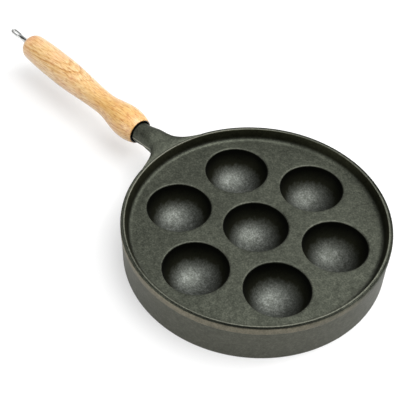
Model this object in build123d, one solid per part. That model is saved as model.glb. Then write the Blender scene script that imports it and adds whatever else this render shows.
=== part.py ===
from build123d import *
import os
from math import cos, pi, radians, sin, sqrt, tan

# A pan for ball-shaped pancakes: one iron casting, a turned wooden grip and a steel rod.
# The origin is on the pan's axis, in the plane that its foot ring stands on.
# +Z is up, and the handle points along +X. Lengths are in millimetres, angles in degrees.

# Pan casting: cups. Six outer cups stand round the middle one, all at one spacing.
cup_mouth_radius = 28.0
cup_depth = 25.0
cup_wall = 3.8
cup_land = 12.85
cup_foot_clearance = 1.6
outer_cup_count = 6
cup_mouth_round = 1.2
cup_root_round = 2.0

# Pan casting: plate, rim and skirt, from the outer cups outwards
edge_land = 10.35
plate_thickness = 4.4
rim_depth = 9.6
rim_wall_draft = 20.0
rim_wall_foot_round = 5.0
lip_crown_width = 1.8
lip_crown_height = 0.5
lip_crown_round = 0.2
ledge_width = 2.2
shoulder_band_height = 6.0
shoulder_stand_proud = 0.5
shoulder_round = 1.2
skirt_taper_run = 0.5
skirt_thickness = 4.2
skirt_foot_round = 0.8
underside_round = 5.0

# Pan casting: handle stub
handle_axis_drop = 7.1
stub_radius = 9.7
stub_neck_radius = 8.6
stub_reach = 46.3
stub_end_chamfer = 0.8
flare_round = 27.0
flare_half_width = 12.2
flare_top_rise = 0.2
flare_burial = 1.5
flare_edge_round = 3.4
root_depth = 21.0
root_foot_half_width = 11.5
nearly_round_share = 0.99
stub_station_shares = (-0.32, -0.2, -0.06, 0.1, 0.28, 0.5, 0.74, 1)

# Grip, turned from one piece of wood
grip_length = 175.0
grip_overlap = 8.0
mouth_radius = 12.2
mouth_flare_angle = 24.0
mouth_round = 0.6
bulge_radius = 15.5
bulge_distance = 18.0
waist_radius = 10.9
waist_distance = 52.0
palm_radius = 14.3
palm_distance = 117.0
heel_radius = 13.0
heel_round = 9.6
heel_taper_angle = 5.0
recess_gap = 1.3

# Rod with a hanging eye
rod_radius = 2.4
rod_bore_gap = 0.08
thread_engagement = 16.0
thread_run_out = 4.0
collar_radius = 4.0
collar_thickness = 2.0
collar_sink = 0.8
rod_end_chamfer = 0.6
neck_length = 15.0
eye_length = 14.0
eye_half_width = 2.8
eye_thickness = 2.6
eye_edge_round = 0.5
eye_slot_length = 9.6
eye_slot_half_width = 1.2
eye_tip_width = 1.9
eye_swage_length = 2.6

# One overrun lets every cutting tool pass clear of the face that it cuts, and one tolerance
# tells which edges lie at a named size.
overrun = 3.0
tolerance = 0.01

# Levels and places worked out from the sizes above
pan_height = cup_foot_clearance + cup_wall + cup_depth + rim_depth
plate_top = pan_height - rim_depth
plate_underside = plate_top - plate_thickness
ledge_level = pan_height - lip_crown_height
handle_level = pan_height - handle_axis_drop
cup_sphere_radius = (cup_mouth_radius**2 + cup_depth**2) / (2 * cup_depth)
cup_centre_level = plate_top - cup_depth + cup_sphere_radius
cup_step_angle = 360 / outer_cup_count
cup_circle_radius = 2 * cup_mouth_radius + cup_land
wall_foot_radius = cup_circle_radius + cup_mouth_radius + edge_land
lip_inner_radius = wall_foot_radius + rim_depth * tan(radians(rim_wall_draft))
crown_outer_radius = lip_inner_radius + lip_crown_width
shoulder_radius = crown_outer_radius + ledge_width
skirt_top_radius = shoulder_radius - shoulder_stand_proud
skirt_foot_radius = skirt_top_radius - skirt_taper_run
stub_end_distance = shoulder_radius + stub_reach
grip_mouth_distance = stub_end_distance - grip_overlap
grip_heel_distance = grip_mouth_distance + grip_length
collar_seat_distance = grip_heel_distance - collar_sink - collar_thickness
rod_end_distance = stub_end_distance - thread_engagement
eye_start_distance = grip_heel_distance + neck_length
eye_tip_distance = eye_start_distance + eye_length


def rounded_outline(corners):
    """A closed outline from (across, up, rounding radius) corners, as a face."""
    points = [(across, up) for across, up, _ in corners]
    face = make_face(Polyline(*points, close=True))
    for across, up, radius in corners:
        if radius > 0:
            corner = face.vertices().sort_by_distance((across, up, 0))[0]
            face = fillet(corner, radius)
    return face


def turned_about_z(corners):
    """The outline turned once about the pan's upright axis."""
    return revolve(Plane.XZ * rounded_outline(corners), Axis.Z)


def along_handle(distance):
    """A plane across the handle's axis at a distance from the pan's axis, facing out."""
    return Plane(origin=(distance, 0, handle_level), x_dir=(0, 1, 0), z_dir=(1, 0, 0))


def bar_along_handle(start, end, radius):
    """A round bar, or the tool for a round hole, on the handle's axis."""
    return extrude(along_handle(start) * Circle(radius), amount=end - start)


# Pan casting

def casting_outside():
    """The casting's outside as one solid: lip crown, ledge, shoulder band and tapered skirt."""
    band_foot = ledge_level - shoulder_band_height
    return turned_about_z([
        (0, pan_height, 0),
        (crown_outer_radius, pan_height, lip_crown_round),
        (crown_outer_radius, ledge_level, lip_crown_round),
        (shoulder_radius, ledge_level, shoulder_round),
        (shoulder_radius, band_foot, shoulder_stand_proud),
        (skirt_top_radius, band_foot - shoulder_stand_proud, shoulder_stand_proud),
        (skirt_foot_radius, 0, skirt_foot_round),
        (0, 0, 0),
    ])


def rim_recess():
    """The dish over the plate, with its drafted wall and the round at the wall's foot."""
    top_radius = lip_inner_radius + overrun * tan(radians(rim_wall_draft))
    return turned_about_z([
        (0, plate_top, 0),
        (wall_foot_radius, plate_top, rim_wall_foot_round),
        (top_radius, pan_height + overrun, 0),
        (0, pan_height + overrun, 0),
    ])


def underside_hollow():
    """The open space under the plate, inside the skirt."""
    taper = skirt_taper_run / pan_height
    foot_radius = skirt_foot_radius - skirt_thickness
    return turned_about_z([
        (0, -overrun, 0),
        (foot_radius - overrun * taper, -overrun, 0),
        (foot_radius + plate_underside * taper, plate_underside, underside_round),
        (0, plate_underside, 0),
    ])


def cup_places():
    """The middle cup, then the outer cups, with the handle midway between two of them."""
    places = [Pos(0, 0, cup_centre_level)]
    for number in range(outer_cup_count):
        angle = radians(cup_step_angle * (number + 1 / 2))
        across = cup_circle_radius * cos(angle)
        back = cup_circle_radius * sin(angle)
        places.append(Pos(across, back, cup_centre_level))
    return places


def cup_shells():
    """The cups' outer walls, which hang below the plate."""
    below_plate = Pos(0, 0, plate_underside) * Cylinder(
        shoulder_radius, pan_height, align=(Align.CENTER, Align.CENTER, Align.MAX)
    )
    shells = Part()
    for place in cup_places():
        shells += place * Sphere(cup_sphere_radius + cup_wall)
    return shells & below_plate


def stub_section(distance, top_half_width, bottom_half_width, top, bottom, top_round, bottom_round):
    """One cross-section of the stub: a rounded block, wider at the top where it meets the rim."""
    face = rounded_outline([
        (-top_half_width, top - handle_level, top_round),
        (top_half_width, top - handle_level, top_round),
        (bottom_half_width, bottom - handle_level, bottom_round),
        (-bottom_half_width, bottom - handle_level, bottom_round),
    ])
    return along_handle(distance) * face


def flare_half_width_at(distance):
    """Half-width of the flare: an arc tangent to the stub's side and to the rim, then the rim."""
    arc_across = flare_half_width + flare_round
    arc_along = sqrt((shoulder_radius + flare_round) ** 2 - arc_across**2)
    meets_rim_along = arc_along * shoulder_radius / (shoulder_radius + flare_round)
    if distance < meets_rim_along:
        return sqrt((shoulder_radius - flare_burial) ** 2 - distance**2)
    if distance > arc_along:
        return flare_half_width
    return arc_across - sqrt(flare_round**2 - (arc_along - distance) ** 2)


def stub_station(share):
    """The stub's section at a share of the way from the rim's outside, 0, to the grip's mouth, 1."""
    distance = shoulder_radius + share * (grip_mouth_distance - shoulder_radius)
    way = max(share, 0)
    roundness = sin(pi / 2 * way**2) ** 2
    root_share = (1 - way) ** 3
    root_top = ledge_level + flare_top_rise
    side = flare_half_width_at(distance)
    under_radius = stub_neck_radius + (stub_radius - stub_neck_radius) * roundness
    top_half_width = side + (stub_radius - side) * roundness
    bottom_half_width = under_radius + (root_foot_half_width - stub_neck_radius) * root_share
    top = root_top + (handle_level + stub_radius - root_top) * roundness
    bottom = handle_level - under_radius - (root_depth - stub_neck_radius) * root_share
    under_round = under_radius * nearly_round_share
    top_round = flare_edge_round + (under_round - flare_edge_round) * roundness
    return stub_section(
        distance, top_half_width, bottom_half_width, top, bottom, top_round, under_round
    )


def handle_stub():
    """The stub: flush with the rim's ledge at its root and round where the grip covers it."""
    stations = [stub_station(share) for share in stub_station_shares]
    flared = loft(stations)
    mouth_face = stations[-1]
    covered = extrude(mouth_face, amount=stub_end_distance - grip_mouth_distance)
    covered = chamfer(covered.faces().sort_by(Axis.X)[-1].edges(), stub_end_chamfer)
    return flared + covered


def rod_hole():
    """The blind hole in the stub's end, tapped on the real pan and plain here."""
    blind_end = rod_end_distance - thread_run_out
    return bar_along_handle(blind_end, stub_end_distance + overrun, rod_radius + rod_bore_gap)


def rounded_cup_edges(casting):
    """The casting with its cup mouths eased and the cups' roots blended under the plate."""
    mouths = [
        edge for edge in casting.edges().filter_by(GeomType.CIRCLE)
        if abs(edge.radius - cup_mouth_radius) < tolerance
        and abs(edge.center().Z - plate_top) < tolerance
    ]
    casting = fillet(mouths, cup_mouth_round)
    root_radius = sqrt(
        (cup_sphere_radius + cup_wall) ** 2 - (cup_centre_level - plate_underside) ** 2
    )
    roots = [
        edge for edge in casting.edges().filter_by(GeomType.CIRCLE)
        if abs(edge.radius - root_radius) < tolerance
        and abs(edge.center().Z - plate_underside) < tolerance
    ]
    return fillet(roots, cup_root_round)


def pan_casting():
    """The whole casting, with its seven cups and the blind hole for the rod."""
    casting = casting_outside() + handle_stub()
    casting -= rim_recess()
    casting -= underside_hollow()
    casting += cup_shells()
    for place in cup_places():
        casting -= place * Sphere(cup_sphere_radius)
    casting = rounded_cup_edges(casting)
    return casting - rod_hole()


# Grip

def grip_outline():
    """The turned profile: mouth, bulge, waist, palm swell and rounded heel."""
    level = (1, 0)
    opening = (cos(radians(mouth_flare_angle)), sin(radians(mouth_flare_angle)))
    closing = (cos(radians(heel_taper_angle)), -sin(radians(heel_taper_angle)))
    mouth = (0, mouth_radius)
    bulge = (bulge_distance, bulge_radius)
    waist = (waist_distance, waist_radius)
    palm = (palm_distance, palm_radius)
    heel_start = (grip_length - heel_round, heel_radius)
    heel_end = (grip_length, heel_radius - heel_round)
    outline = Spline(mouth, bulge, tangents=(opening, level))
    outline += Spline(bulge, waist, tangents=(level, level))
    outline += Spline(waist, palm, tangents=(level, level))
    outline += Spline(palm, heel_start, tangents=(level, closing))
    outline += TangentArc(heel_start, heel_end, tangent=closing)
    outline += Polyline(heel_end, (grip_length, 0), (0, 0), mouth)
    face = make_face(outline)
    return fillet(face.vertices().sort_by_distance((0, mouth_radius, 0))[0], mouth_round)


def wooden_grip():
    """The grip, with its front recess for the stub, its long bore and the collar's seat."""
    lathe = Plane(origin=(grip_mouth_distance, 0, handle_level), x_dir=(1, 0, 0), z_dir=(0, -1, 0))
    turned = revolve(lathe * grip_outline(), Axis((0, 0, handle_level), (1, 0, 0)))
    recess_start = grip_mouth_distance - overrun
    recess = bar_along_handle(recess_start, stub_end_distance, stub_radius + recess_gap)
    bore = bar_along_handle(recess_start, grip_heel_distance + overrun, rod_radius + rod_bore_gap)
    collar_seat = bar_along_handle(
        collar_seat_distance, grip_heel_distance + overrun, collar_radius + rod_bore_gap
    )
    return turned - recess - bore - collar_seat


# Rod with a hanging eye

def flattened_eye():
    """The forged eye: a flat plate with round ends, eased edges and one long slot."""
    middle = Plane(origin=(eye_start_distance + eye_length / 2, 0, handle_level))
    plate = extrude(
        middle * SlotOverall(eye_length, 2 * eye_half_width), amount=eye_thickness / 2, both=True
    )
    slot_middle = eye_tip_distance - eye_tip_width - eye_slot_length / 2
    slot = extrude(
        Plane(origin=(slot_middle, 0, handle_level))
        * SlotOverall(eye_slot_length, 2 * eye_slot_half_width),
        amount=eye_thickness,
        both=True,
    )
    eye = plate - slot
    flat_faces = eye.faces().filter_by(Axis.Z)
    return fillet(flat_faces.edges(), eye_edge_round)


def hanging_rod():
    """The rod: threaded end, shank, swaged collar, neck and slotted eye, in one piece."""
    shank = bar_along_handle(rod_end_distance, eye_start_distance, rod_radius)
    shank = chamfer(shank.edges().sort_by(Axis.X)[0], rod_end_chamfer)
    collar = bar_along_handle(
        collar_seat_distance, collar_seat_distance + collar_thickness, collar_radius
    )
    swage = loft([
        along_handle(eye_start_distance) * Circle(rod_radius),
        along_handle(eye_start_distance + eye_swage_length) * Circle(eye_thickness / 2),
    ])
    return shank + collar + swage + flattened_eye()


def write_parts():
    """Write each piece to its own file."""
    os.makedirs("parts", exist_ok=True)
    pieces = {
        "pan_casting": pan_casting(),
        "wooden_grip": wooden_grip(),
        "hanging_rod": hanging_rod(),
    }
    for name, piece in pieces.items():
        export_step(piece, f"parts/{name}.step")


write_parts()
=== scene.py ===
# %% [markdown]
# # A cast-iron pan for ball-shaped pancakes
#
# The real pan has three pieces. The pan itself is one iron casting with seven cups. The grip is
# turned from one piece of wood. A steel rod runs through the grip, screws into the casting's stub
# and ends in a flattened eye to hang the pan by.
#
# The frame gives each piece its real size and place. This script gives each piece the surface that
# a foundry, a lathe and a forge leave, and then lights it as a small studio would.

import bmesh
import bpy
import numpy as np
from mathutils import Matrix, Vector


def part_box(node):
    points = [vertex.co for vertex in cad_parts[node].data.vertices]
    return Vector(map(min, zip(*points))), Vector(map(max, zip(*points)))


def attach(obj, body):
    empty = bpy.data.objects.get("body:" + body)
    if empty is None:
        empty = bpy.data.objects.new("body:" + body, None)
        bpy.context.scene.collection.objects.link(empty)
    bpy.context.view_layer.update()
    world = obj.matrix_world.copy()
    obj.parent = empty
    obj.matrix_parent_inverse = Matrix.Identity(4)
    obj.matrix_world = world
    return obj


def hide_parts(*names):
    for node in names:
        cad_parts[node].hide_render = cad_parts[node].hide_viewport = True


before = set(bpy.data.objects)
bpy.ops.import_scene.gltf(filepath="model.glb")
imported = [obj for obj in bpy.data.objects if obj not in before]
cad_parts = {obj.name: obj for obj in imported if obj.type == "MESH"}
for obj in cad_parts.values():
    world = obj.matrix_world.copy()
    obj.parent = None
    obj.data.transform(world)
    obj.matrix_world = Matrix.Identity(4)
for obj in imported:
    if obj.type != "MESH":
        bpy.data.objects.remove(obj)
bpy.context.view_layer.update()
print("The frame holds", sorted(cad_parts))

# %% [markdown]
# ## Sizes
#
# All sizes below are in millimetres, as a pattern maker would write them, and one factor turns
# them into Blender's metres when a mesh is made. Whatever the frame can tell is read from it, so
# that each new surface sits exactly where the frame's solid is.

# %% Read the main places from the frame
MM = 0.001
pan_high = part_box("pan_casting")[1] / MM
grip_low, grip_high = [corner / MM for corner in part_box("wooden_grip")]
rod_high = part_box("hanging_rod")[1] / MM

shoulder_radius = pan_high.y
stub_end = pan_high.x
handle_level = (grip_low.z + grip_high.z) / 2
grip_mouth = grip_low.x
print(f"Rim {2 * shoulder_radius:.1f} mm across, handle's axis {handle_level:.1f} mm up")

# %% [markdown]
# ## A mesh from patches
#
# Every piece here is a set of patches. A patch is a grid of points worked out as one array: rows
# by columns by x, y, z. Neighbouring patches share the points along their seam, so that welding
# them gives one closed skin, as the real piece has.

# %% One mesh from several grids
WELD_MM = 0.002


def grid_quads(rows, columns, closed):
    """Corner numbers of a grid's quads. Row r, column c is point r * columns + c."""
    last = columns if closed else columns - 1
    row, column = np.meshgrid(np.arange(rows - 1), np.arange(last), indexing="ij")
    beside = (column + 1) % columns
    corners = (row * columns + column, row * columns + beside,
               (row + 1) * columns + beside, (row + 1) * columns + column)
    return np.stack(corners, -1).reshape(-1, 4)


def skin(name, patches, body, node):
    """One closed piece from patches, each a (grid, closed) pair in millimetres."""
    points = []
    quads = []
    count = 0
    for grid, closed in patches:
        rows, columns = grid.shape[:2]
        points.append(grid.reshape(-1, 3))
        quads.append(grid_quads(rows, columns, closed) + count)
        count += rows * columns
    mesh = bpy.data.meshes.new(name)
    mesh.from_pydata((np.concatenate(points) * MM).tolist(), [], np.concatenate(quads).tolist())
    work = bmesh.new()
    work.from_mesh(mesh)
    bmesh.ops.remove_doubles(work, verts=work.verts, dist=WELD_MM * MM)
    bmesh.ops.recalc_face_normals(work, faces=work.faces)
    open_edges = sum(not edge.is_manifold for edge in work.edges)
    work.to_mesh(mesh)
    work.free()
    mesh.shade_smooth()
    piece = bpy.data.objects.new(name, mesh)
    bpy.context.scene.collection.objects.link(piece)
    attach(piece, body)
    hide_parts(node)
    mesh.calc_loop_triangles()
    print(f"{name}: {len(mesh.loop_triangles)} triangles, {open_edges} open edges")
    return piece


# %% [markdown]
# ## Lines with rounded corners
#
# A pattern maker draws a section as straight runs and eases every corner. The same is done here:
# a corner with a rounding radius is replaced by an arc that touches both runs.

# %% Rounded lines and evenly cut runs
ARC_STEPS = 5


def rounded_line(corners):
    """Points of a line through (across, up, radius) corners. The arc at a corner starts
    radius * tan(turn / 2) before it, and its centre is square to the run, at the radius."""
    corners = np.array(corners, float)
    points = [corners[:1, :2]]
    for before, corner, after in zip(corners, corners[1:], corners[2:]):
        arriving = (corner - before)[:2] / np.linalg.norm((corner - before)[:2])
        leaving = (after - corner)[:2] / np.linalg.norm((after - corner)[:2])
        side = arriving[0] * leaving[1] - arriving[1] * leaving[0]
        turn = np.arctan2(side, arriving @ leaving)
        start = corner[:2] - arriving * corner[2] * np.tan(abs(turn) / 2)
        square = np.array([-arriving[1], arriving[0]]) * np.sign(turn)
        angle = np.linspace(0, abs(turn), ARC_STEPS + 1 if corner[2] > 0 else 1)[:, None]
        points.append(
            start + corner[2] * (arriving * np.sin(angle) + square * (1 - np.cos(angle)))
        )
    points.append(corners[-1:, :2])
    return np.concatenate(points)


def evenly_cut(line, longest):
    """The same line with more points, so that no run is longer than the given length."""
    pieces = []
    for start, end in zip(line, line[1:]):
        steps = max(1, int(np.ceil(np.linalg.norm(end - start) / longest)))
        pieces.append(start + (end - start) * np.linspace(0, 1, steps, endpoint=False)[:, None])
    return np.concatenate([*pieces, line[-1:]])


# %% [markdown]
# ## The casting: plate and cups
#
# Seen from above, the plate is shared out between its cups: each point belongs to the nearest
# cup. The middle cup's share is a hexagon, and an outer cup's share has three straight sides and
# one on the plate's round edge. Around each cup, lines run from the bottom of the bowl over the
# mouth's rounding to the edge of its share. So the rings around a mouth are true circles, which
# gives each cup its clean bright edge, and the shares still meet without a gap.

# %% Sizes of the cups and the plate
cup_mouth_radius = 28.0
cup_depth = 25.0
cup_wall = 3.8
cup_pitch = 68.85
cup_mouth_round = 1.2
cup_root_round = 2.0
plate_top = 30.4
plate_underside = 26.0
cup_sphere_radius = (cup_mouth_radius**2 + cup_depth**2) / (2 * cup_depth)
cup_centre_level = plate_top - cup_depth + cup_sphere_radius

OUTER_CUPS = 6
ARC_COLUMNS = 60
SIDE_COLUMNS = 20
INNER_COLUMNS = 20
BOWL_ROWS = 26
LAND_ROWS = 5
print(f"Each cup is part of a ball of {cup_sphere_radius:.2f} mm radius")


# %% The shares of the plate
def on_circle(radius, degrees):
    """Points at a radius and angles, in plan."""
    angle = np.radians(np.asarray(degrees, float))
    return radius * np.stack([np.cos(angle), np.sin(angle)], -1)


def run(start, end, steps):
    """Evenly spaced points from start up to, but not with, end."""
    return start + (end - start) * np.linspace(0, 1, steps, endpoint=False)[:, None]


def middle_share():
    """The hexagon half-way to the outer cups, corner to corner."""
    corners = on_circle(cup_pitch / 2 / np.cos(np.pi / 6), np.arange(OUTER_CUPS + 1) * 60)
    return np.concatenate([run(a, b, INNER_COLUMNS) for a, b in zip(corners, corners[1:])])


def outer_share(number, edge_radius):
    """An outer cup's share: an arc of the plate's edge, a side, the hexagon's side, a side."""
    low, high = 60 * number, 60 * (number + 1)
    corner_radius = cup_pitch / 2 / np.cos(np.pi / 6)
    arc = on_circle(edge_radius, np.linspace(low, high, ARC_COLUMNS, endpoint=False))
    outer_low, outer_high = on_circle(edge_radius, [low, high])
    inner_low, inner_high = on_circle(corner_radius, [low, high])
    return np.concatenate([
        arc,
        run(outer_high, inner_high, SIDE_COLUMNS),
        run(inner_high, inner_low, INNER_COLUMNS),
        run(inner_low, outer_low, SIDE_COLUMNS),
    ])


# %% The bowls
def bowl_section(radius, level, rounding):
    """Across and up for a ball's lower part and the arc that eases it into a level face.
    The arc's centre is rounding below the face and radius + rounding from the ball's centre."""
    drop = cup_centre_level - (level - rounding)
    across = np.sqrt((radius + rounding) ** 2 - drop**2)
    touch = np.arctan2(across, drop)
    polar = np.linspace(0, touch, BOWL_ROWS)
    ball = np.stack([radius * np.sin(polar), cup_centre_level - radius * np.cos(polar)], -1)
    turn = np.linspace(np.pi / 2 + touch, np.pi / 2, ARC_STEPS + 1)[1:]
    arc = (across, level - rounding) + rounding * np.stack([np.cos(turn), np.sin(turn)], -1)
    return np.concatenate([ball, arc])


def cup_patch(centre, share, radius, level, rounding):
    """The grid around one cup: rings of the bowl's section, then rings that grow from the
    mouth's circle to the edge of the cup's share."""
    section = bowl_section(radius, level, rounding)
    out = share - centre
    direction = out / np.linalg.norm(out, axis=1)[:, None]
    rings = centre + section[:, 0, None, None] * direction
    growth = np.linspace(0, 1, LAND_ROWS + 1)[1:, None, None]
    land = rings[-1] + (share - rings[-1]) * growth
    plan = np.concatenate([rings, land])
    up = np.concatenate([section[:, 1], np.full(LAND_ROWS, level)])
    return np.concatenate([plan, np.broadcast_to(up[:, None, None], (*plan.shape[:2], 1))], -1)


def plate_patches(edge_radius, radius, level, rounding):
    """One side of the plate with its seven bowls."""
    patches = [(cup_patch(np.zeros(2), middle_share(), radius, level, rounding), True)]
    for number in range(OUTER_CUPS):
        centre = on_circle(cup_pitch, 60 * number + 30)
        share = outer_share(number, edge_radius)
        patches.append((cup_patch(centre, share, radius, level, rounding), True))
    return patches


# %% [markdown]
# ## The casting: rim and skirt
#
# Outside the plate the casting is round, so one section turned about the pan's axis gives the
# wall of the dish, the slim bright crown, the ledge beside it, the rounded shoulder with its
# band, the tapered skirt, its foot, and the skirt's inner side. The section is drawn in
# three runs, because the stub grows out of the second one.

# %% The section of the rim
pan_height = 40.0
wall_foot_radius = 107.2
wall_foot_round = 3.4
lip_inner_radius = 110.7
crown_outer_radius = 112.5
crown_round = 0.55
ledge_level = 39.8
groove_depth = 0.7
groove_width = 1.2
groove_foot_round = 0.2
ledge_lean = 0.15
ledge_round = 0.25
shoulder_round = 1.1
band_foot_level = 33.5
band_proud = 0.5
band_step = 1.0
skirt_foot_radius = 113.7
skirt_thickness = 4.2
skirt_foot_round = 0.8
underside_round = 5.0
wall_turn_degrees = 70.0
root_level = 17.0
LONGEST_RUN = 2.6


def skirt_radius(level):
    """The skirt's outer radius: it narrows evenly towards its foot."""
    widening = shoulder_radius - band_proud - skirt_foot_radius
    return skirt_foot_radius + widening * level / pan_height


plate_edge_radius = wall_foot_radius - wall_foot_round * np.tan(np.radians(wall_turn_degrees / 2))
under_edge_radius = skirt_radius(plate_underside) - skirt_thickness - underside_round
groove_level = ledge_level - groove_depth
ledge_start = (crown_outer_radius + groove_width, groove_level)
root_foot = (skirt_radius(root_level), root_level)

inner_run = evenly_cut(rounded_line([
    (plate_edge_radius, plate_top, 0),
    (wall_foot_radius, plate_top, wall_foot_round),
    (lip_inner_radius, pan_height, crown_round),
    (crown_outer_radius, pan_height, crown_round),
    (crown_outer_radius, groove_level, groove_foot_round),
    (*ledge_start, 0),
]), LONGEST_RUN)
stub_run = evenly_cut(rounded_line([
    (*ledge_start, 0),
    (crown_outer_radius + groove_width + ledge_lean, ledge_level, ledge_round),
    (shoulder_radius, ledge_level, shoulder_round),
    (shoulder_radius, band_foot_level, band_proud),
    (skirt_radius(band_foot_level - band_step), band_foot_level - band_step, band_proud),
    (*root_foot, 0),
]), LONGEST_RUN)
foot_run = evenly_cut(rounded_line([
    (*root_foot, 0),
    (skirt_foot_radius, 0, skirt_foot_round),
    (skirt_foot_radius - skirt_thickness, 0, skirt_foot_round),
    (skirt_radius(plate_underside) - skirt_thickness, plate_underside, underside_round),
    (under_edge_radius, plate_underside, 0),
]), LONGEST_RUN)
print("Rows in the rim's section:", len(inner_run), len(stub_run), len(foot_run))

# %% [markdown]
# ## The casting: where the stub grows out
#
# The rim's grid has a window in it, at the handle. The window is wide along the ledge and
# narrows down the skirt, because that is how the real stub spreads into the rim: as a thin
# flare at the top and a slim web below. The columns beside the window slide along the round
# surface to make room, which doesn't change that surface at all.

# %% The turned grid with its window
WINDOW_COLUMNS = 20
FADE_COLUMNS = 30
window_foot_half_width = 9.0
COLUMN_DEGREES = 60 / ARC_COLUMNS
window_degrees = WINDOW_COLUMNS * COLUMN_DEGREES
foot_degrees = np.degrees(window_foot_half_width / skirt_radius(root_level))


def slid_columns(edge_degrees):
    """Column angles for each row, with the window's edge column moved to the given angle. The
    columns further out share the rest of the way to the last column that stays."""
    natural = np.arange(OUTER_CUPS * ARC_COLUMNS) * COLUMN_DEGREES
    signed = (natural + 180) % 360 - 180
    away = np.abs(signed)
    fade = FADE_COLUMNS * COLUMN_DEGREES
    edge = np.asarray(edge_degrees, float)[:, None]
    inside = away / window_degrees * edge
    outside = edge + (away - window_degrees) * (fade - edge) / (fade - window_degrees)
    moved = np.where(away <= window_degrees, inside, outside)
    return np.where(away < fade, np.sign(signed) * moved, signed)


def turned(section, edge_degrees):
    """A section turned about the pan's axis, one row for each of its points."""
    angle = np.radians(slid_columns(edge_degrees))
    across = section[:, 0, None]
    up = np.broadcast_to(section[:, 1, None], angle.shape)
    return np.stack([across * np.cos(angle), across * np.sin(angle), up], -1)


def ease(share):
    """From 0 to 1 with a level start and end."""
    share = np.clip(share, 0, 1)
    return share * share * (3 - 2 * share)


def window_half_width(level):
    """The window's half-width in degrees at a level: wide at the ledge, slim at the root."""
    share = np.clip((level - root_level) / (ledge_level - root_level), 0, 1)
    return foot_degrees + (window_degrees - foot_degrees) * share**3


inner_grid = turned(inner_run, np.full(len(inner_run), window_degrees))
stub_edges = window_half_width(stub_run[:, 1])
stub_edges[0] = window_degrees
stub_grid = turned(stub_run, stub_edges)
foot_share = ease(np.linspace(0, 1, len(foot_run)))
foot_edges = foot_degrees + (window_degrees - foot_degrees) * foot_share
foot_grid = turned(foot_run, foot_edges)
print(f"The window is {2 * window_degrees:.0f} degrees wide above, {2 * foot_degrees:.1f} below")

# %% [markdown]
# ## Growing one shape out of another
#
# The stub grows out of the rim, and the rod's eye is drawn out of the rod. Both are made the same
# way. A window is left in one grid, and from each point on its edge a curve runs to a ring. The
# curve leaves in the plane of the surface that it starts from and arrives along the handle, so
# there is no crease, as there is none in the mould or under the hammer. Each curve is a cubic
# through two points with two given directions. The points on the window's edge never move, so
# that the new shape stays welded to the old one.

# %% Windows, and curves that leave them
EDGE_SMOOTHING = 4


def along_window(top, right, foot, left, window):
    """Values once round a window of a closed grid: top row, right side, foot row, left side. Each
    is taken from its own field, and window is (top row, foot row, half the columns)."""
    first, last, half = window
    rows = np.arange(first, last + 1)
    columns = np.arange(-half, half + 1)
    return np.concatenate([
        top[first, columns[:-1]], right[rows[:-1], half],
        foot[last, columns[:0:-1]], left[rows[:0:-1], -half],
    ])


def unit(field):
    """Each vector at length one."""
    return field / np.linalg.norm(field, axis=-1, keepdims=True)


def window_edge(grid, window):
    """The window's edge points, and from each the direction along the surface into the window.
    Directions are averaged round the corners, then laid back into the surface."""
    points = along_window(grid, grid, grid, grid, window)
    down = unit(np.gradient(grid, axis=0))
    around = unit(np.roll(grid, -1, axis=1) - np.roll(grid, 1, axis=1))
    way = along_window(down, -around, -down, around, window)
    normal = unit(np.cross(down, around))
    normal = along_window(normal, normal, normal, normal, window)
    for _ in range(EDGE_SMOOTHING):
        way = (np.roll(way, 1, axis=0) + 2 * way + np.roll(way, -1, axis=0)) / 4
    way -= np.sum(way * normal, -1, keepdims=True) * normal
    return points, unit(way)


def without_window(grid, window):
    """The grid as bands above, beside and below its window, as patches."""
    first, last, half = window
    beside = np.roll(grid[first : last + 1], -half, axis=1)
    beside = beside[:, : grid.shape[1] - 2 * half + 1]
    return [(grid[: first + 1], True), (beside, False), (grid[last:], True)]


def cubic_run(start, leaving, end, arriving, steps):
    """Rows of points on cubic curves. The four weights are those of the start, its direction,
    the end and its direction."""
    t = np.linspace(0, 1, steps)[:, None, None]
    return (
        (2 * t**3 - 3 * t**2 + 1) * start
        + (t**3 - 2 * t**2 + t) * leaving
        + (3 * t**2 - 2 * t**3) * end
        + (t**3 - t**2) * arriving
    )


def ring_angles(window, corner_degrees):
    """The ring's angle for each point on the window's edge. The edge's four corners go to the
    four given angles, and the points between are evenly spaced."""
    first, last, half = window
    counts = [2 * half, last - first, 2 * half, last - first]
    ends = [*corner_degrees, corner_degrees[0] - 360]
    spans = zip(ends, ends[1:], counts)
    return np.radians(np.concatenate([np.linspace(a, b, n, endpoint=False) for a, b, n in spans]))


def rings(angle, stations):
    """Circles round the handle's axis, one for each (distance, radius)."""
    stations = np.array(stations, float)
    distance = np.broadcast_to(stations[:, 0, None], (len(stations), len(angle)))
    across = stations[:, 1, None] * np.cos(angle)
    up = handle_level + stations[:, 1, None] * np.sin(angle)
    return np.stack([distance, across, up], -1)


# %% [markdown]
# ## The casting: the stub
#
# The curves arrive a little inside the grip's mouth, where the stub is round. The ones at the
# sides lean on the handle's direction for longer, which draws the flare that the photo shows:
# broad and thin along the rim, then quickly round. A pattern shaped by hand is never quite true.
# Seen from the pan, the neck stands a little above the handle's axis and to its right, and its
# left flare is the slimmer one, so the curves are moved by as much.

# %% Grow the stub and weld the casting together
STUB_STEPS = 30
ring_distance = 156.0
stub_radius = 9.7
stub_end_chamfer = 0.8
stub_corner_degrees = (168, 12, -58, -122)
leaving_length = 14.0
arriving_middle = 80.0
arriving_side = 157.0
neck_start = 121.0
neck_end = 151.0
neck_ease = 16.0
neck_rise = 1.6
neck_drift = -0.85
slim_start = 110.0
slim_end = 136.0
slim_ease = 12.0
slimmer = -3.0
slim_from_rim = 0.4


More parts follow.
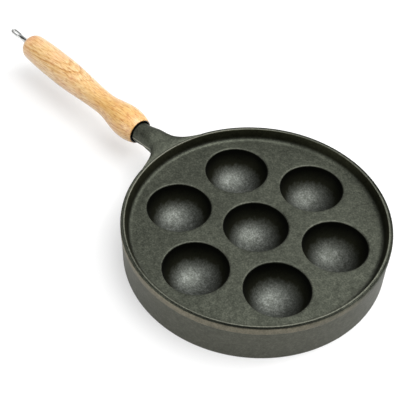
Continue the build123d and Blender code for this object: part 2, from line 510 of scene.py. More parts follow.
def off_axis(curves):
    """The neck's points moved up and to one side, and its left flare drawn in. Both moves ease in
    past the rim and out before the grip's mouth, by the distance along the handle. The flare's
    move also grows along each curve from nothing, so the first points stay welded to the rim."""
    distance, across = curves[..., :1], curves[..., 1:2]
    neck = ease((distance - neck_start) / neck_ease) * ease((neck_end - distance) / neck_ease)
    flare = ease((distance - slim_start) / slim_ease) * ease((slim_end - distance) / slim_ease)
    left = ease(across / slim_ease)
    grown = ease(np.linspace(0, 1, len(curves)) / slim_from_rim)[:, None, None]
    moved = curves + neck * np.array([0.0, neck_drift, neck_rise])
    return moved + grown * flare * left * np.array([0.0, slimmer, 0.0])


rim_grid = np.concatenate([inner_grid[:-1], stub_grid[:-1], foot_grid])
stub_window = (len(inner_grid) - 1, len(inner_grid) + len(stub_grid) - 2, WINDOW_COLUMNS)
edge_points, edge_way = window_edge(rim_grid, stub_window)
angle = ring_angles(stub_window, stub_corner_degrees)
sideways = np.abs(edge_points[:, 1:2]) / np.abs(edge_points[:, 1]).max()
arriving = arriving_middle + (arriving_side - arriving_middle) * sideways**2
stub_curves = off_axis(cubic_run(
    edge_points,
    leaving_length * edge_way,
    rings(angle, [(ring_distance, stub_radius)])[0],
    arriving * np.array([1.0, 0.0, 0.0]),
    STUB_STEPS,
))
stub_face = rings(angle, [
    (ring_distance, stub_radius),
    (stub_end - stub_end_chamfer, stub_radius),
    (stub_end, stub_radius - stub_end_chamfer),
    (stub_end, stub_radius / 2),
    (stub_end, 0),
])

pan = skin("sand_cast_pan", [
    *plate_patches(plate_edge_radius, cup_sphere_radius, plate_top, cup_mouth_round),
    *without_window(rim_grid, stub_window),
    (stub_curves, True),
    (stub_face, True),
    *plate_patches(
        under_edge_radius, cup_sphere_radius + cup_wall, plate_underside, cup_root_round
    ),
], "pan", "pan_casting")

# %% [markdown]
# ## The grip
#
# The grip is turned on a lathe, so one profile turned about the handle's axis makes it. The
# profile swells behind the mouth, narrows to a waist for the first finger, swells again for the
# palm and ends in a rounded heel. Its mouth is hollow, and goes over the stub's end with a gap
# that shows as a dark crescent.

# %% The profile of the grip
GRIP_COLUMNS = 96
HEEL_ARC_STEPS = 24
LONGEST_GRIP_RUN = 1.5
grip_length = 175.0
mouth_radius = 12.2
mouth_slope = np.tan(np.radians(24))
bulge = (18.0, 15.494)
waist = (52.0, 10.9)
palm = (117.0, 14.3)
heel_start = np.array([165.4, 13.0])
heel_end = np.array([175.0, 3.4])
heel_slope = -np.tan(np.radians(5))
recess_radius = 11.0
recess_depth = 8.0
bore_radius = 2.48
seat_radius = 4.08
seat_depth = 2.8
edge_ease = 0.4


def swell(start, start_slope, end, end_slope):
    """A smooth run of a profile between two points with two slopes, as a cubic."""
    length = end[0] - start[0]
    points = cubic_run(
        np.array([start], float),
        np.array([[length, length * start_slope]]),
        np.array([end], float),
        np.array([[length, length * end_slope]]),
        int(length / LONGEST_GRIP_RUN) + 1,
    )
    return points[:, 0]


def heel_arc():
    """The arc over the heel. It leaves along the heel's slope, and its centre is as far from its
    end as from its start."""
    square = unit(np.array([heel_slope, -1.0]))
    chord = heel_start - heel_end
    radius = -(chord @ chord) / (2 * chord @ square)
    centre = heel_start + radius * square
    first, last = [np.arctan2(*(point - centre)[::-1]) for point in (heel_start, heel_end)]
    turn = np.linspace(first, last, HEEL_ARC_STEPS)[:, None]
    arc = centre + radius * np.concatenate([np.cos(turn), np.sin(turn)], 1)
    return arc[arc[:, 1] > seat_radius + edge_ease]


arc = heel_arc()
grip_outside = np.concatenate([
    swell((0.0, mouth_radius), mouth_slope, bulge, 0.0)[1:],
    swell(bulge, 0.0, waist, 0.0)[1:],
    swell(waist, 0.0, palm, 0.0)[1:],
    swell(palm, 0.0, tuple(heel_start), heel_slope)[1:],
    arc[1:],
])
grip_inside = rounded_line([(*corner, edge_ease) for corner in [
    arc[-1],
    (grip_high.x - grip_low.x, seat_radius),
    (grip_length - seat_depth, seat_radius),
    (grip_length - seat_depth, bore_radius),
    (recess_depth, bore_radius),
    (recess_depth, recess_radius),
    (0, recess_radius),
    (0, mouth_radius),
    grip_outside[0],
]])
grip_profile = np.concatenate([grip_outside, grip_inside[1:]])
grip_profile[:, 0] += grip_mouth
grip_angle = np.linspace(0, 2 * np.pi, GRIP_COLUMNS, endpoint=False)
grip = skin("turned_wood_grip", [(rings(grip_angle, grip_profile), True)], "grip", "wooden_grip")

# %% [markdown]
# ## The rod and its eye
#
# The rod is plain steel bar. A smith flattens its end, punches a slot and leaves both edges
# rounded, so the eye is a flat ring that is drawn out of the round bar. Here the eye is a closed
# grid round the slot, and the bar is grown out of a window in the eye's front edge.

# %% Sizes of the rod
rod_radius = 2.4
rod_end = 145.0
rod_end_chamfer = 0.6
collar_radius = 4.0
collar_thickness = 2.0
collar_seat = grip_mouth + grip_length - seat_depth
collar_ease = 0.3
eye_tip = rod_high.x
eye_length = 14.0
eye_half_width = 2.8
eye_thickness = 2.6
eye_edge_round = 0.5
slot_length = 9.6
slot_half_width = 1.2
slot_from_tip = 1.9
swage_length = 3.5
swage_leaving = 1.5
swage_arriving = 5.0
bar_distance = eye_tip - eye_length - swage_length
END_COLUMNS = 24
STRAIGHT_COLUMNS = 10
EYE_ARC_STEPS = 5
SWAGE_STEPS = 10


# %% The eye
def long_round(front, back, half_width):
    """A line with round ends seen from above, from the middle of its front end on: half the
    front end, one side, the back end, the other side, and the front end's other half."""
    front_centre, back_centre = front + half_width, back - half_width
    quarter = np.linspace(180, 90, END_COLUMNS // 2, endpoint=False)
    half = np.linspace(90, -90, END_COLUMNS, endpoint=False)
    front_half = on_circle(half_width, quarter) + (front_centre, 0)
    back_end = on_circle(half_width, half) + (back_centre, 0)
    front_side, back_side = np.array([[front_centre, half_width], [back_centre, half_width]])
    near = run(front_side, back_side, STRAIGHT_COLUMNS)
    far = run(back_side * (1, -1), front_side * (1, -1), STRAIGHT_COLUMNS)
    other_half = on_circle(half_width, 180 / END_COLUMNS - quarter[::-1]) + (front_centre, 0)
    return np.concatenate([front_half, near, back_end, far, other_half])


def eye_grid():
    """The eye's skin: rows go once round its section, columns once round the slot. A section
    point is a share of the way from slot to outside, a distance outwards, and a height."""
    outside = long_round(eye_tip - eye_length, eye_tip, eye_half_width)
    slot_back = eye_tip - slot_from_tip
    slot = long_round(slot_back - slot_length, slot_back, slot_half_width)
    out = unit(outside - slot)
    turn = np.linspace(0, np.pi / 2, EYE_ARC_STEPS + 1)
    high = eye_thickness / 2
    inset = eye_edge_round * (1 - np.sin(turn))
    drop = eye_edge_round * (1 - np.cos(turn))
    outer_top = [(1, -a, high - b) for a, b in zip(inset, drop)]
    outer_low = [(1, a, -b) for _, a, b in reversed(outer_top)]
    inner_low = [(0, -a, b) for _, a, b in reversed(outer_low)]
    inner_top = [(0, a, -b) for _, a, b in reversed(inner_low)]
    top, foot = (0.5, 0, high), (0.5, 0, -high)
    section = np.array([top, *outer_top, *outer_low, foot, *inner_low, *inner_top])
    share, shift, up = section.T[:, :, None, None]
    plan = slot + (outside - slot) * share + out * shift
    return np.concatenate([plan, np.broadcast_to(handle_level + up, (*plan.shape[:2], 1))], -1)


eye = eye_grid()
eye_window = (1, 2 * EYE_ARC_STEPS + 2, END_COLUMNS // 4)
eye_points, eye_way = window_edge(eye, eye_window)
bar_angle = ring_angles(eye_window, (135, 45, -45, -135))
print("The eye's grid has", " by ".join(str(count) for count in eye.shape[:2]), "points")


# %% Draw the bar out of the eye
def bar_and_collar():
    """The bar from its window in the eye to its threaded end, with the collar on the way."""
    start = rings(bar_angle, [(bar_distance, rod_radius)])[0]
    inwards = np.array([-swage_arriving, 0.0, 0.0])
    drawn = cubic_run(eye_points, swage_leaving * eye_way, start, inwards, SWAGE_STEPS)
    collar_end = collar_seat + collar_thickness
    bar = rings(bar_angle, rounded_line([
        (bar_distance, rod_radius, 0),
        (collar_end, rod_radius, 0),
        (collar_end, collar_radius, collar_ease),
        (collar_seat, collar_radius, collar_ease),
        (collar_seat, rod_radius, 0),
        (rod_end + rod_end_chamfer, rod_radius, 0),
        (rod_end, rod_radius - rod_end_chamfer, 0),
        (rod_end, 0, 0),
    ]))
    return [(drawn, True), (bar, True)]


eye_loop = np.concatenate([eye[eye_window[1] :], eye[:1], eye[: eye_window[0] + 1]])
rod = skin("forged_rod", [
    without_window(eye, eye_window)[1],
    (eye_loop, True),
    *bar_and_collar(),
], "rod", "hanging_rod")

# %% [markdown]
# ## Materials
#
# Each material is a small tree of nodes. One function adds a node with its settings and its
# links, and one turns a colour as a screen shows it into the linear light that a renderer needs.

# %% Nodes and colours
def linear(code):
    """A hex colour as linear red, green, blue, alpha."""
    parts = np.array([int(code[place : place + 2], 16) for place in (1, 3, 5)]) / 255
    light = np.where(parts <= 0.04045, parts / 12.92, ((parts + 0.055) / 1.055) ** 2.4)
    return (*light.tolist(), 1.0)


def add(tree, kind, inputs, output=0, stops=(), **settings):
    """A node with its settings and links, as one of its outputs. An input takes a number, a
    colour or another node's output. Stops are a ramp's positions with their hex colours."""
    node = tree.nodes.new("ShaderNode" + kind)
    for name, value in settings.items():
        setattr(node, name, value)
    for name, value in inputs.items():
        if isinstance(value, bpy.types.NodeSocket):
            tree.links.new(value, node.inputs[name])
        else:
            node.inputs[name].default_value = value
    for number, (position, code) in enumerate(stops):
        if number > 1:
            node.color_ramp.elements.new(position)
        element = node.color_ramp.elements[number]
        element.position, element.color = position, linear(code)
    return node.outputs[output] if node.outputs else node


def finish_material(name, piece):
    """A named material on a piece, as its empty tree."""
    made = bpy.data.materials.new(name)
    made.use_nodes = True
    made.node_tree.nodes.clear()
    piece.data.materials.append(made)
    return made.node_tree


# %% [markdown]
# ## Seasoned cast iron
#
# Iron cast in sand keeps the sand's grain. Oil baked on it makes it dark olive grey, with a low
# satin shine. Worn places, and much painted light and shade, change it from place to place:
#
# - The bottoms of the cups are a paler grey, a painted highlight where the lamps' spot falls,
#   dimmer on one side of the pan. Their walls are painted black as shade below the mouths, and
#   brown-grey as half shade under it. The mouths' edges are worn in places.
# - The wall of the dish is painted as shade: darkest at its foot, and paler near the lip.
# - The crown of the lip is a painted highlight, brightest beside the handle.
# - In front, the groove outside the crown is painted black as shade, and the shoulder below it
#   has a painted highlight, broken into patches of dried brown oil.
# - The skirt is a paler grey than the plate.
# - A pale painted highlight runs along the stub's sides.
# - Inside the grip's mouth the stub is painted black as shade.
#
# The masks for all of these come from the level, the distance to the pan's axis and the side of
# the pan. A finish lies where all of its masks do.

# %% Grain of the iron
iron = finish_material("seasoned_sand_cast_iron", pan)
place = add(iron, "TexCoord", {}, "Object")
level = add(iron, "SeparateXYZ", {"Vector": place}, "Z")
along = add(iron, "SeparateXYZ", {"Vector": place}, "X")
plan = add(iron, "Mapping", {"Vector": place, "Scale": (1.0, 1.0, 0.0)})
from_axis = add(iron, "VectorMath", {0: plan}, "Value", operation="LENGTH")

# The sand's grain is about a third of a millimetre. It is drawn four times as coarse, since a
# pixel shows about 0.85 mm of the pan.
grain = add(iron, "TexNoise", {
    "Vector": place, "Scale": 1 / (1.4 * MM), "Detail": 2.0, "Roughness": 0.6,
})
lumps = add(iron, "TexNoise", {"Vector": place, "Scale": 1 / (4 * MM), "Detail": 3.0})
clouds = add(iron, "TexNoise", {"Vector": place, "Scale": 1 / (30 * MM), "Detail": 3.0})
fine = add(iron, "MapRange", {"Value": grain, "From Min": 0.3, "From Max": 0.7})
coarse = add(iron, "MapRange", {"Value": lumps, "From Min": 0.3, "From Max": 0.7})
speckle = add(iron, "Mix", {"Factor": 0.35, "A": fine, "B": coarse})
patches = add(iron, "Mix", {"Factor": 0.35, "A": speckle, "B": clouds})

# %% Where each finish lies on the iron
# First come how far each point lies towards one side of the pan, and a level with a ragged edge.
dim_spot_side = (-0.690, -0.724, 0.0)
front_side = (-0.724, 0.690, 0.0)
shoulder_highlight_side = (-0.285, 0.958, 0.0)
to_dim_spots, to_front, to_shoulder_highlight = [
    add(iron, "VectorMath", {0: plan, 1: side}, "Value", operation="DOT_PRODUCT")
    for side in (dim_spot_side, front_side, shoulder_highlight_side)
]
ragged_level = add(iron, "Math", {0: lumps, 1: 8 * MM, 2: level}, operation="MULTIPLY_ADD")
shoulder_patches = add(iron, "Math", {0: clouds, 1: 120 * MM, 2: to_shoulder_highlight}, operation="MULTIPLY_ADD")

# Each mask goes from 0 at one place to 1 at the next, in millimetres.
mask = {
    name: add(iron, "MapRange", {"Value": value, "From Min": zero * MM, "From Max": one * MM})
    for name, value, zero, one in [
        ("below a mouth", level, 29.9, 28.9),
        ("inside the dish", from_axis, 104.0, 102.0),
        ("deep in a cup", ragged_level, 21.0, 13.0),
        ("down a cup's wall", ragged_level, 30.0, 20.0),
        ("past the wall's foot", from_axis, 107.4, 108.4),
        ("before the crown", from_axis, 111.3, 110.9),
        ("up the wall", level, 31.0, 38.0),
        ("at the front", to_front, 85.0, 120.0),
        ("near the top", level, 35.0, 37.0),
        ("on top", level, 39.45, 39.75),
        ("past the crown", from_axis, 112.8, 113.2),
        ("past the groove", from_axis, 114.1, 114.5),
        ("not on the stub", from_axis, 116.0, 115.0),
        ("above the skirt", ragged_level, 32.0, 37.5),
        ("below the band", level, 34.0, 32.0),
        ("in the patches", shoulder_patches, 50.0, 150.0),
        ("past the rim", from_axis, 117.0, 123.0),
        ("handle's side", along, 40.0, 100.0),
        ("inside the grip", along, grip_mouth - 1.5, grip_mouth - 0.5),
    ]
}
# Painted shade: the cups' pale painted highlight is dimmer on one side of the pan.
spot_brightness = add(iron, "MapRange", {
    "Value": to_dim_spots, "From Min": -20 * MM, "From Max": 80 * MM, "To Min": 1.0, "To Max": 0.72,
})
worn_share = add(iron, "MapRange", {
    "Value": clouds, "From Min": 0.35, "From Max": 0.65, "To Min": 0.15, "To Max": 0.75,
})
# Painted highlight: a pale line along the stub's sides, falling in level towards the grip.
stub_highlight_level = add(iron, "MapRange", {
    "Value": from_axis, "From Min": 119 * MM, "From Max": 150 * MM,
    "To Min": 37.4 * MM, "To Max": 32.4 * MM,
})

# Each narrow band lies round one level or one distance, within a half-width.
at_mouth, in_groove, in_crown, at_stub_highlight = [
    add(iron, "Math", {0: value, 1: middle, 2: half_width * MM}, operation="COMPARE")
    for value, middle, half_width in [
        (level, 29.9 * MM, 0.4),
        (from_axis, 113.4 * MM, 0.95),
        (from_axis, 111.7 * MM, 0.55),
        (level, stub_highlight_level, 0.6),
    ]
]

where = {}
for name, covered, *others in [
    ("cup", mask["below a mouth"], mask["inside the dish"]),
    ("cup highlight", mask["deep in a cup"], spot_brightness),
    ("worn mouth", at_mouth, mask["inside the dish"], worn_share),
    ("wall", mask["past the wall's foot"], mask["before the crown"]),
    # Painted shade: the groove outside the crown is black at the front.
    ("shaded groove", in_groove, mask["near the top"], mask["at the front"]),
    # Painted highlight on the front of the shoulder, in patches that are also dried brown oil.
    ("shoulder highlight and oil", mask["past the groove"], mask["above the skirt"],
        mask["not on the stub"], mask["in the patches"]),
    ("skirt", mask["past the crown"], mask["below the band"], mask["not on the stub"]),
    ("stub highlight", at_stub_highlight, mask["past the rim"]),
    ("crown", mask["on top"], in_crown),
    # Painted shade: the stub is black inside the grip's mouth.
    ("inside the grip", mask["inside the grip"]),
]:
    for other in others:
        covered = add(iron, "Math", {0: covered, 1: other}, operation="MULTIPLY")
    where[name] = covered
print("Places with a finish of their own:", ", ".join(where))

# %% Colours and shine of the iron
tone = {
    name: add(iron, "ValToRGB", {"Fac": patches}, stops=stops)
    for name, stops in {
        "plate": [(0.1, "#2d2f28"), (0.5, "#464940"), (0.9, "#63665a")],
        "cup highlight grey": [(0.1, "#33352f"), (0.5, "#5d605b"), (0.9, "#8a8d88")],
        "skirt": [(0.1, "#3f4038"), (0.5, "#53544b"), (0.9, "#696960")],
        "shade black": [(0.2, "#060704"), (0.8, "#0d0e08")],
        "half shade": [(0.2, "#17180e"), (0.8, "#26271c")],
        "wall's foot": [(0.2, "#0e0f06"), (0.8, "#1b1c11")],
        "wall's top": [(0.2, "#1d1e13"), (0.8, "#323325")],
        "dried oil and highlight": [(0.2, "#59564a"), (0.8, "#827d6d")],
        "worn edge and highlight": [(0.2, "#494b42"), (0.8, "#6e7065")],
        "bright highlight": [(0.2, "#75756a"), (0.8, "#a0a092")],
    }.items()
}
for name, share, under, over in [
    # The dish's wall is painted shade, darker towards its foot.
    ("wall", mask["up the wall"], "wall's foot", "wall's top"),
    # The crown is a painted highlight, brighter on the handle's side.
    ("lip", mask["handle's side"], "worn edge and highlight", "bright highlight"),
    # The cups' walls are painted shade, black under the mouths and half shade lower down; their
    # bottoms are a painted highlight.
    ("cup's wall", mask["down a cup's wall"], "shade black", "half shade"),
    ("cup", where["cup highlight"], "cup's wall", "cup highlight grey"),
]:
    mixed = {"Fac": share, "Color1": tone[under], "Color2": tone[over]}
    tone[name] = add(iron, "MixRGB", mixed)

colour = tone["plate"]
for name, finish in [
    ("cup", "cup"),
    ("worn mouth", "worn edge and highlight"),
    ("wall", "wall"),
    ("shaded groove", "shade black"),
    ("shoulder highlight and oil", "dried oil and highlight"),
    ("skirt", "skirt"),
    ("stub highlight", "bright highlight"),
    ("crown", "lip"),
    ("inside the grip", "shade black"),
]:
    covered = {"Fac": where[name], "Color1": colour, "Color2": tone[finish]}
    colour = add(iron, "MixRGB", covered)

relief = add(iron, "Math", {0: grain, 1: 0.5, 2: lumps}, operation="MULTIPLY_ADD")
sand_bump = add(iron, "Bump", {"Strength": 0.9, "Distance": 0.3 * MM, "Height": relief})
sheen_patches = add(iron, "Math", {0: grain, 1: clouds}, operation="ADD")
sheen = add(iron, "MapRange", {
    "Value": sheen_patches, "From Min": 0.6, "From Max": 1.4, "To Min": 0.48, "To Max": 0.64,
})
outside_cup_highlight = add(iron, "Math", {
    0: where["cup"], 1: where["cup highlight"],
}, operation="SUBTRACT", use_clamp=True)
iron_shader = add(iron, "BsdfPrincipled", {
    "Base Color": colour,
    "Metallic": 0.92,
    "Roughness": add(iron, "Math", {0: outside_cup_highlight, 1: 0.08, 2: sheen}, operation="MULTIPLY_ADD"),
    "Normal": sand_bump,
})
add(iron, "OutputMaterial", {"Surface": iron_shader})
print("The iron's material has", len(iron.nodes), "nodes")

# %% [markdown]
# ## Turned wood
#
# A board is cut from a log, and the log's rings run through it. Turning the grip cuts those rings
# at a slant, which draws long stripes on the sides and arches on the swell. So the pattern here
# is a real log: rings round an axis 38 mm below the grip's middle and tilted by 6 degrees. Good
# and poor years draw rings of different strength, and fibres and pores run along the axis. Heat
# has tanned the end near the pan, and its recess is painted near-black as shade. Satin varnish
# lies over it all.

# %% The log that the grip was cut from
wood = finish_material("satin_varnished_turned_wood", grip)
log_shift = (0.0, -2.9 * MM, -16.8 * MM)
log_tilt = (np.radians(-5.0), np.radians(-6.0), 0.0)
ring_width = 2.6
place = add(wood, "TexCoord", {}, "Object")
log = add(wood, "Mapping", {"Vector": place, "Location": log_shift, "Rotation": log_tilt})

# Real pores are a tenth of a millimetre wide and a few millimetres long. They are drawn ten times
# as wide, since a pixel shows about 1 mm of the grip. Each pattern is drawn out along the log.
sway, fibres, dashes = [
    add(wood, "TexNoise", {
        "Vector": add(wood, "Mapping", {"Vector": log, "Scale": (squeezed, 1.0, 1.0)}),
        "Scale": 1 / (width * MM), "Detail": detail, "Roughness": roughness,
    })
    for squeezed, width, detail, roughness in [
        (0.12, 12.0, 3.0, 0.5), (0.07, 1.3, 2.0, 0.6), (0.16, 1.1, 1.0, 0.5),
    ]
]
across = add(wood, "Mapping", {"Vector": log, "Scale": (0.0, 1.0, 1.0)})
ring_radius = add(wood, "VectorMath", {0: across}, "Value", operation="LENGTH")
swayed = add(wood, "Math", {0: sway, 1: 5 * MM, 2: ring_radius}, operation="MULTIPLY_ADD")
years = add(wood, "Math", {0: swayed, 1: 1 / (ring_width * MM)}, operation="MULTIPLY")
year = add(wood, "Math", {0: years}, operation="FRACT")
late_wood = add(wood, "MapRange", {"Value": year, "From Min": 0.45, "From Max": 0.92})
next_spring = add(wood, "MapRange", {"Value": year, "From Min": 1.0, "From Max": 0.93})
rings_drawn = add(wood, "Math", {0: late_wood, 1: next_spring}, operation="MULTIPLY")
good_years = add(wood, "TexNoise", {
    "W": years, "Scale": 0.29, "Detail": 0.0,
}, noise_dimensions="1D")
good_share = add(wood, "MapRange", {
    "Value": good_years, "From Min": 0.45, "From Max": 0.62, "To Min": 0.1,
})
along = add(wood, "SeparateXYZ", {"Vector": place}, "X")
past_waist = add(wood, "MapRange", {
    "Value": along, "From Min": (grip_mouth + 35.0) * MM, "From Max": (grip_mouth + 70.0) * MM,
    "To Min": 0.6,
})
years_here = add(wood, "Math", {0: good_share, 1: past_waist}, operation="MULTIPLY")
ring_tone = add(wood, "Math", {0: rings_drawn, 1: years_here}, operation="MULTIPLY")
print(f"The log's rings are {ring_width} mm apart")

# %% Fibres, pores and varnish
pores = add(wood, "MapRange", {"Value": dashes, "From Min": 0.52, "From Max": 0.66})
fibre_tone = add(wood, "MapRange", {"Value": fibres, "From Min": 0.36, "From Max": 0.64})
wood_tone = add(wood, "Mix", {"Factor": 0.5, "A": ring_tone, "B": fibre_tone})
wood_colour = add(wood, "ValToRGB", {"Fac": wood_tone}, stops=[
    (0.0, "#e5c898"), (0.35, "#dbb47b"), (0.7, "#c49252"), (1.0, "#965b29"),
])
with_pores = add(wood, "MixRGB", {
    "Fac": add(wood, "Math", {0: pores, 1: 0.55}, operation="MULTIPLY"),
    "Color1": wood_colour, "Color2": linear("#a8672c"),
})
blush = add(wood, "TexNoise", {"Vector": place, "Scale": 1 / (22 * MM), "Detail": 2.0})
blush_share = add(wood, "MapRange", {
    "Value": blush, "From Min": 0.5, "From Max": 0.7, "To Max": 0.35,
})
blushed = add(wood, "MixRGB", {
    "Fac": blush_share, "Color1": with_pores, "Color2": linear("#e3a98a"),
})
beside_axis = add(wood, "Mapping", {
    "Vector": place, "Location": (0.0, 0.0, -handle_level * MM), "Scale": (0.0, 1.0, 1.0),
})
from_handle = add(wood, "VectorMath", {0: beside_axis}, "Value", operation="LENGTH")
near_mouth = add(wood, "MapRange", {
    "Value": along, "From Min": (grip_mouth + 9.0) * MM, "From Max": (grip_mouth + 8.5) * MM,
})
inside = add(wood, "MapRange", {"Value": from_handle, "From Min": 12.1 * MM, "From Max": 11.7 * MM})
in_recess = add(wood, "Math", {0: near_mouth, 1: inside}, operation="MULTIPLY")
tanned_share = add(wood, "MapRange", {
    "Value": along, "From Min": (grip_mouth + 40.0) * MM, "From Max": (grip_mouth + 85.0) * MM,
    "To Min": 1.0, "To Max": 0.0,
})
tanned = add(wood, "MixRGB", {
    "Fac": tanned_share, "Color1": blushed, "Color2": linear("#f7ebce"),
}, blend_type="MULTIPLY")
# Painted shade: the wood inside the recess is near-black.
with_recess_shade = add(wood, "MixRGB", {"Fac": in_recess, "Color1": tanned, "Color2": linear("#1c0d06")})
grain_height = add(wood, "Math", {0: fibres, 1: pores}, operation="SUBTRACT")
grain_bump = add(wood, "Bump", {"Strength": 0.35, "Distance": 0.1 * MM, "Height": grain_height})
wood_shader = add(wood, "BsdfPrincipled", {
    "Base Color": with_recess_shade,
    "Roughness": add(wood, "MapRange", {
        "Value": fibres, "From Min": 0.3, "From Max": 0.7, "To Min": 0.34, "To Max": 0.46,
    }),
    "Normal": grain_bump,
    "Coat Weight": 0.7,
    "Coat Roughness": 0.18,
})
add(wood, "OutputMaterial", {"Surface": wood_shader})
print("The wood's material has", len(wood.nodes), "nodes")

# %% [markdown]
# ## Plated steel
#
# The rod is drawn bar with a thin bright plating. Drawing leaves fine lines along it, which
# stretch each reflection lengthwise.

# %% Plated steel
steel = finish_material("plated_drawn_steel", rod)
place = add(steel, "TexCoord", {}, "Object")
draw_place = add(steel, "Mapping", {"Vector": place, "Scale": (0.04, 1.0, 1.0)})
draw_lines = add(steel, "TexNoise", {"Vector": draw_place, "Scale": 1 / (0.5 * MM), "Detail": 3.0})
steel_stops = [(0.3, "#c9cac8"), (0.7, "#dfe0de")]
steel_colour = add(steel, "ValToRGB", {"Fac": draw_lines}, stops=steel_stops)
draw_bump = add(steel, "Bump", {"Strength": 0.15, "Distance": 0.05 * MM, "Height": draw_lines})
steel_shader = add(steel, "BsdfPrincipled", {
    "Base Color": steel_colour,
    "Metallic": 1.0,
    "Roughness": add(steel, "MapRange", {
        "Value": draw_lines, "From Min": 0.3, "From Max": 0.7, "To Min": 0.12, "To Max": 0.22,
    }),
    "Normal": draw_bump,
})
add(steel, "OutputMaterial", {"Surface": steel_shader})
print("The steel's material has", len(steel.nodes), "nodes")

# %% [markdown]
# ## The studio
#
# The photo was taken on a white sweep. A large soft lamp hangs above the pan and a smaller one
# stands behind it on the right, as the camera sees it. Together they give each cup its pale spot
# and throw the handle's faint shadow to the left. A low, weak lamp on the left opens the shade on
# the skirt. A white backdrop stands behind on the right, and the room in front is dark, which
# leaves the cups' far walls black. The paper glows a little as the camera sees it, and more so
# away from the pan, because a photographer burns such a background out to plain white.

# %% The white sweep
floor_mesh = bpy.data.meshes.new("white_sweep")
half_floor = 4.0
floor_level = -0.02 * MM
corner_signs = [(-1, -1), (1, -1), (1, 1), (-1, 1)]
floor_corners = [(x * half_floor, y * half_floor, floor_level) for x, y in corner_signs]
floor_mesh.from_pydata(floor_corners, [], [(0, 1, 2, 3)])
floor = bpy.data.objects.new("white_sweep", floor_mesh)
bpy.context.scene.collection.objects.link(floor)
paper = bpy.data.materials.new("matt_white_paper")
paper.use_nodes = True
paper.node_tree.nodes.clear()
sweep = paper.node_tree
to_camera = add(sweep, "LightPath", {}, "Is Camera Ray")
to_gloss = add(sweep, "LightPath", {}, "Is Glossy Ray")
seen = add(sweep, "Math", {0: to_camera, 1: to_gloss}, operation="MAXIMUM")
matt = add(sweep, "BsdfDiffuse", {"Color": linear("#bcbcbc")})
place = add(sweep, "TexCoord", {}, "Object")
from_pan = add(sweep, "VectorMath", {0: place}, "Value", operation="LENGTH")
lift = add(sweep, "MapRange", {
    "Value": from_pan, "From Min": 0.35, "From Max": 1.4, "To Min": 0.42, "To Max": 0.95,
})
lift_strength = add(sweep, "Math", {0: seen, 1: lift}, operation="MULTIPLY")
glow = add(sweep, "Emission", {"Color": (1.0, 1.0, 1.0, 1.0), "Strength": lift_strength})
add(sweep, "OutputMaterial", {"Surface": add(sweep, "AddShader", {0: matt, 1: glow})})
floor_mesh.materials.append(paper)
print(f"The sweep is {2 * half_floor:.0f} m wide")

# %% The lamps and the room
pan_turn_degrees = 133.6
turn = np.radians(pan_turn_degrees)
to_pan = np.array([
    [np.cos(turn), np.sin(turn), 0], [-np.sin(turn), np.cos(turn), 0], [0, 0, 1],
])


def softbox(name, seen_from_camera, away, size, watts):
    """A square lamp that looks at the pan. Its place is given as right, back and up as the
    camera sees the table."""
    direction = Vector(to_pan @ seen_from_camera).normalized()
    light = bpy.data.lights.new(name, "AREA")
    light.shape = "SQUARE"
    light.size = size
    light.energy = watts
    lamp = bpy.data.objects.new(name, light)
    lamp.location = direction * away
    lamp.rotation_euler = direction.to_track_quat("Z", "Y").to_euler()
    bpy.context.scene.collection.objects.link(lamp)
    print(f"{name}: {size} m wide, {watts} W, at", [round(part, 2) for part in lamp.location])


softbox("overhead_softbox", [0.27, -0.08, 0.96], 1.3, 1.1, 15.0)
softbox("side_softbox", [0.75, 0.35, 1.0], 1.5, 0.5, 7.0)
softbox("left_fill", [-0.85, -0.45, 0.3], 1.3, 0.8, 6.0)

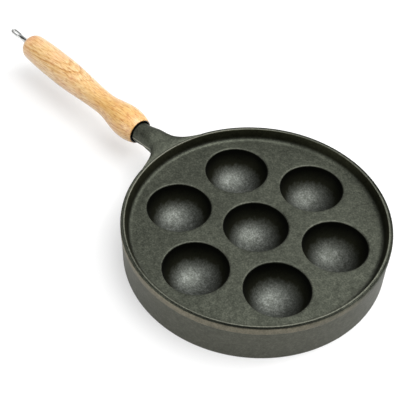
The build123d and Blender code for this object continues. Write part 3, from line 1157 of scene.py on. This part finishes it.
world = bpy.data.worlds.new("white_studio")
bpy.context.scene.world = world
world.use_nodes = True
world.node_tree.nodes.clear()
room = world.node_tree
direction = add(room, "TexCoord", {}, "Generated")
height = add(room, "SeparateXYZ", {"Vector": direction}, "Z")
back_right, back_left = tuple(to_pan @ [0.8, 0.6, 0.0]), tuple(to_pan @ [-0.8, 0.6, 0.0])
behind_pan, toward_wall = [
    add(room, "VectorMath", {0: direction, 1: way}, "Value", operation="DOT_PRODUCT")
    for way in (back_right, back_left)
]
backdrop = add(room, "MapRange", {
    "Value": behind_pan, "From Min": -0.1, "From Max": 0.45, "To Min": 0.04, "To Max": 0.62,
})
overhead = add(room, "MapRange", {
    "Value": height, "From Min": 0.42, "From Max": 0.95, "To Max": 1.2,
})
dimming = add(room, "MapRange", {
    "Value": toward_wall, "From Min": 0.1, "From Max": 0.7, "To Min": 1.0, "To Max": 0.35,
})
ceiling = add(room, "Math", {0: overhead, 1: dimming}, operation="MULTIPLY")
room_light = add(room, "Math", {0: backdrop, 1: ceiling}, operation="MAXIMUM")
to_camera = add(room, "LightPath", {}, "Is Camera Ray")
strength = add(room, "Math", {0: room_light, 1: to_camera}, operation="MAXIMUM")
sky = add(room, "Background", {"Color": (1.0, 1.0, 1.0, 1.0), "Strength": strength})
add(room, "OutputWorld", {"Surface": sky})

# %% [markdown]
# ## The camera
#
# The camera's place was worked out from the photo: the rim, the plate's edge and the cups' mouths
# are circles in level planes, and only one camera draws them as the ellipses that the photo
# shows. It is given here as the photographer would, with the pan's turn on the table beside it.

# %% Camera
camera_place_mm = np.array([-48.14, -557.42, 608.48])
camera_down_degrees = 46.53
camera_roll_degrees = 1.776
camera_focal_mm = 88.19
film_width_mm = 36.0
target_level_mm = 40.0

elevation, roll = np.radians([camera_down_degrees, camera_roll_degrees])
lean = np.array([np.sin(elevation), np.cos(elevation)])
right = np.array([np.cos(roll), *(np.sin(roll) * lean)])
up = np.array([-np.sin(roll), *(np.cos(roll) * lean)])
placed = np.eye(4)
placed[:3, :3] = to_pan @ np.stack([right, up, np.cross(right, up)], 1)
placed[:3, 3] = (to_pan @ camera_place_mm + [0, 0, target_level_mm]) * MM
camera_data = bpy.data.cameras.new("photo_camera")
camera_data.lens = camera_focal_mm
camera_data.sensor_width = film_width_mm
camera = bpy.data.objects.new("photo_camera", camera_data)
camera.matrix_world = Matrix(placed.tolist())
bpy.context.scene.collection.objects.link(camera)
bpy.context.scene.camera = camera
bpy.context.scene.view_settings.view_transform = "Standard"
print("Camera at", [round(float(value), 4) for value in placed[:3, 3]])
